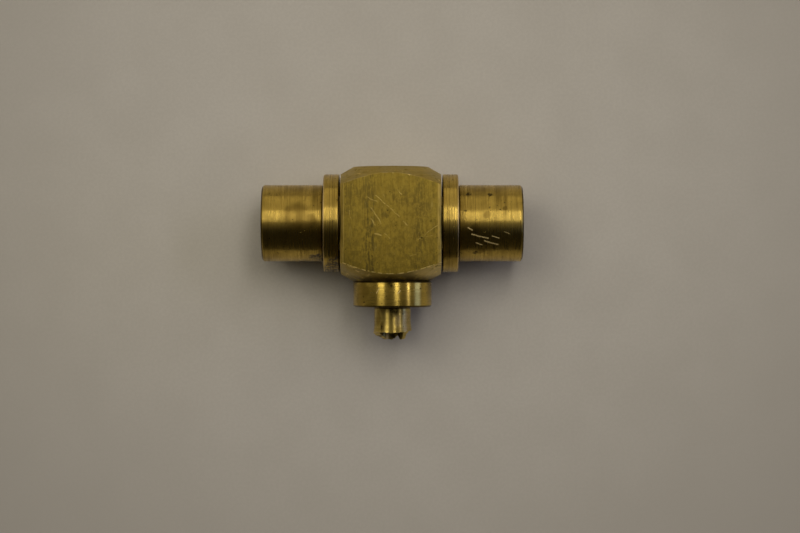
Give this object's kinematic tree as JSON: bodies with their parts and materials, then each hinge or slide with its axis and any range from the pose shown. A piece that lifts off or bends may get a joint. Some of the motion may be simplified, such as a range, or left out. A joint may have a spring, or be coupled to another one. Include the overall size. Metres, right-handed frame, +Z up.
{
  "type": "flare tee fitting",
  "caption": "Square-bodied brass flare tee with round flanged flare nuts on its run and a collared branch stub torn off short.",
  "frame": {"origin": "on the block's flat back face, straight below the crossing of the run and the branch", "axes": "+X along the run towards the right-hand nut, -Y along the branch, +Z up out of the face it rests on"},
  "size_m": [0.0663, 0.0442, 0.0254],
  "materials": {
    "bar_brass": "drawn bar, dull and lightly tarnished, with lengthwise streaks and scratches",
    "nut_brass": "turned, satin, with fine circumferential lines",
    "branch_brass": "turned smooth, brighter, with a few small pits",
    "torn_brass": "turned outside, coarse grained and dark at the tear",
    "thread_brass": "machined, lightly oiled",
    "sleeve_brass": "machined, satin",
    "copper": "annealed copper, soft and dull"
  },
  "bodies": {
    "tee": {"tee_block": "bar_brass", "left_nipple": "thread_brass", "right_nipple": "thread_brass", "left_washer": "copper", "right_washer": "copper", "branch_collar": "branch_brass", "branch_washer": "copper", "branch_tube": "torn_brass"},
    "left_sleeve": {"left_flare_sleeve": "sleeve_brass"},
    "left_nut": {"left_flare_nut": "nut_brass"},
    "right_sleeve": {"right_flare_sleeve": "sleeve_brass"},
    "right_nut": {"right_flare_nut": "nut_brass"}
  },
  "joints": [
    {"name": "left_nut_travel", "type": "slide", "parent": "tee", "child": "left_sleeve", "axis": [-1, 0, 0], "range_m": [0, 0.00708]},
    {"name": "left_nut_turn", "type": "hinge", "parent": "left_sleeve", "child": "left_nut", "pos_m": [-0.02, 0, 0.0127], "axis": [-1, 0, 0], "range_deg": [0, 1800]},
    {"name": "right_nut_travel", "type": "slide", "parent": "tee", "child": "right_sleeve", "axis": [1, 0, 0], "range_m": [0, 0.00708]},
    {"name": "right_nut_turn", "type": "hinge", "parent": "right_sleeve", "child": "right_nut", "pos_m": [0.02, 0, 0.0127], "axis": [1, 0, 0], "range_deg": [0, 1800]}
  ],
  "couplings": [
    {"joint": "left_nut_travel", "follows": "left_nut_turn", "m_per_rad": 0.00022459},
    {"joint": "right_nut_travel", "follows": "right_nut_turn", "m_per_rad": 0.00022459}
  ]
}
